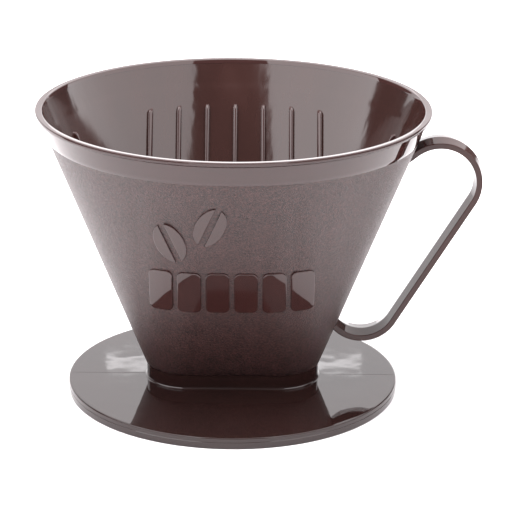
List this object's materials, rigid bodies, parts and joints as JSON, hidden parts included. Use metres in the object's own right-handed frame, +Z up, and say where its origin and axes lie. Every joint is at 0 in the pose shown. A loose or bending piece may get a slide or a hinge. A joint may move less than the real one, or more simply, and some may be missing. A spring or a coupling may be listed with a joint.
{
  "type": "pour over coffee dripper",
  "caption": "Plastic pour-over dripper: a ribbed oval-footed cone on a round base plate, with a strap handle and two drain holes.",
  "frame": {"origin": "on the cone's axis, in the plane that the base plate rests on", "axes": "+Z up along the cone's axis, +X towards the handle, -Y towards the front wall with the raised emblem"},
  "size_m": [0.1477, 0.13, 0.0981],
  "materials": {
    "polished_brown_plastic": "polished mould surface, dark brown",
    "satin_brown_plastic": "fine spark-eroded satin texture, dark brown"
  },
  "bodies": {
    "root": {"base_plate": "polished_brown_plastic", "foot_collar": "polished_brown_plastic", "cone_wall": "satin_brown_plastic", "rim_lip": "polished_brown_plastic", "handle": "polished_brown_plastic", "filter_rib_back_1": "polished_brown_plastic", "filter_rib_back_2": "polished_brown_plastic", "filter_rib_back_3": "polished_brown_plastic", "filter_rib_back_4": "polished_brown_plastic", "filter_rib_back_5": "polished_brown_plastic", "filter_rib_back_6": "polished_brown_plastic", "filter_rib_back_7": "polished_brown_plastic", "filter_rib_front_1": "polished_brown_plastic", "filter_rib_front_2": "polished_brown_plastic", "filter_rib_front_3": "polished_brown_plastic", "filter_rib_front_4": "polished_brown_plastic", "filter_rib_front_5": "polished_brown_plastic", "filter_rib_front_6": "polished_brown_plastic", "filter_rib_front_7": "polished_brown_plastic", "filter_rib_right_front": "polished_brown_plastic", "filter_rib_right_back": "polished_brown_plastic", "filter_rib_left_front": "polished_brown_plastic", "filter_rib_left_back": "polished_brown_plastic"}
  },
  "joints": []
}
